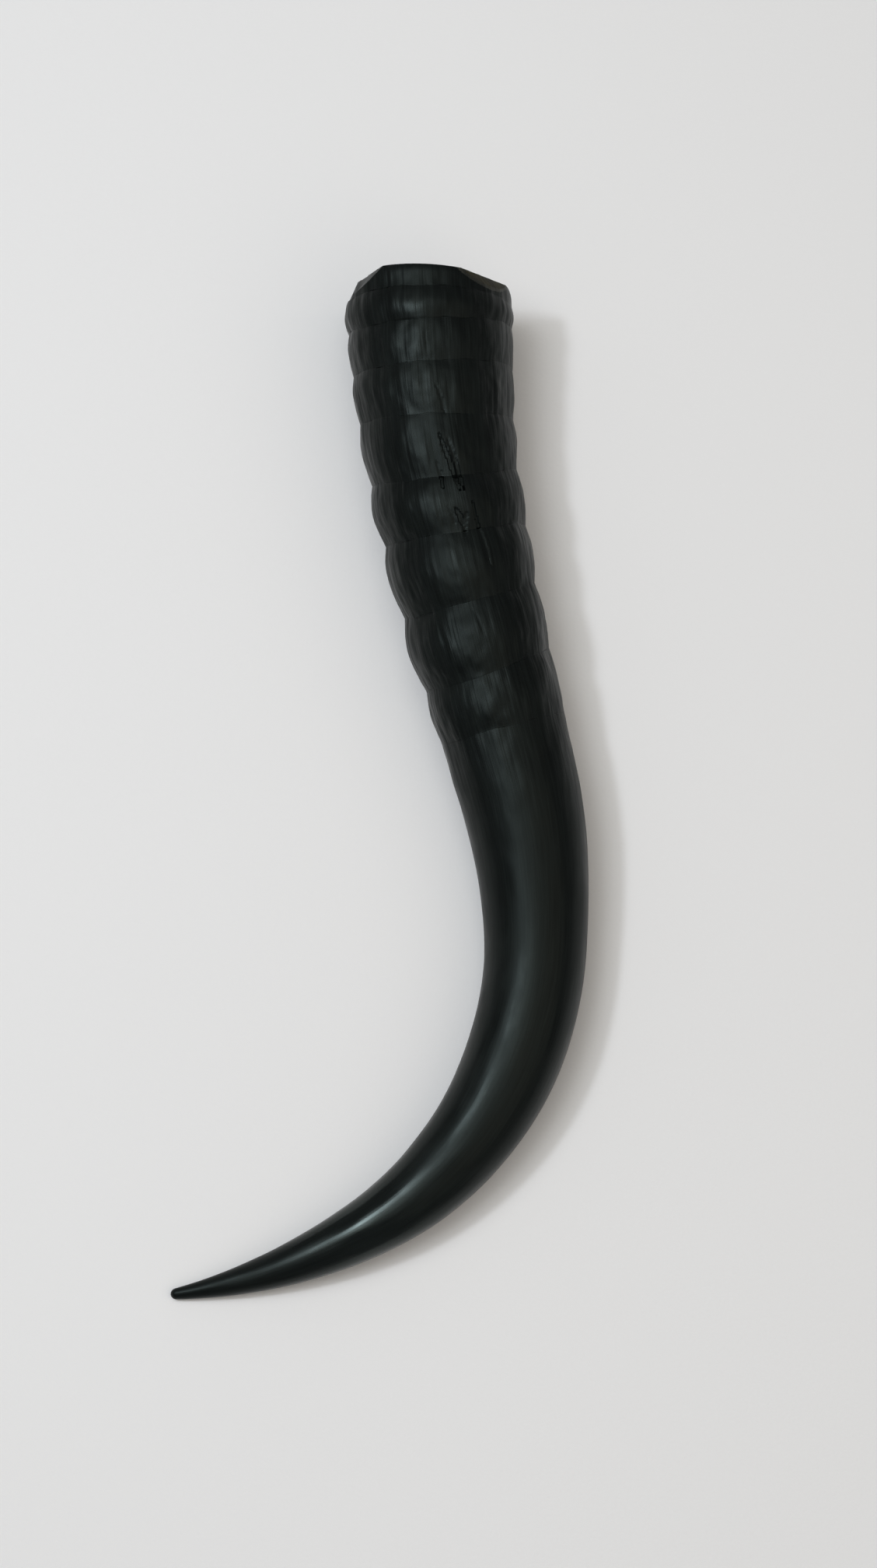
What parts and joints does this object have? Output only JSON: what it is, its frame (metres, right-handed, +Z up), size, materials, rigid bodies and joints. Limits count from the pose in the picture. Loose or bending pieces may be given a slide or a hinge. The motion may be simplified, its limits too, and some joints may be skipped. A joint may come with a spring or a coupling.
{
  "type": "shofar",
  "caption": "Curved black antelope horn with a ringed hollow base half, a smooth shank and a solid hooked tip, built as nested growth cones; the raw form of a shofar.",
  "frame": {"origin": "on the ground, under the middle of the outline of the horn as it lies on its side", "axes": "+Y towards the sawn open base, +Z up from the surface it lies on, -X the side that the tip hooks to"},
  "size_m": [0.1106, 0.2726, 0.0435],
  "materials": {
    "raw_horn": "matte sawn and worn horn",
    "ringed_horn": "satin, with fine lengthwise grain",
    "polished_horn": "smooth satin, glossier towards the tip"
  },
  "bodies": {
    "root": {"rim_ring": "raw_horn", "growth_ring_1": "ringed_horn", "growth_ring_2": "ringed_horn", "growth_ring_3": "ringed_horn", "growth_ring_4": "ringed_horn", "growth_ring_5": "ringed_horn", "growth_ring_6": "ringed_horn", "growth_ring_7": "ringed_horn", "growth_ring_8": "ringed_horn", "tip_cone": "polished_horn"}
  },
  "joints": []
}
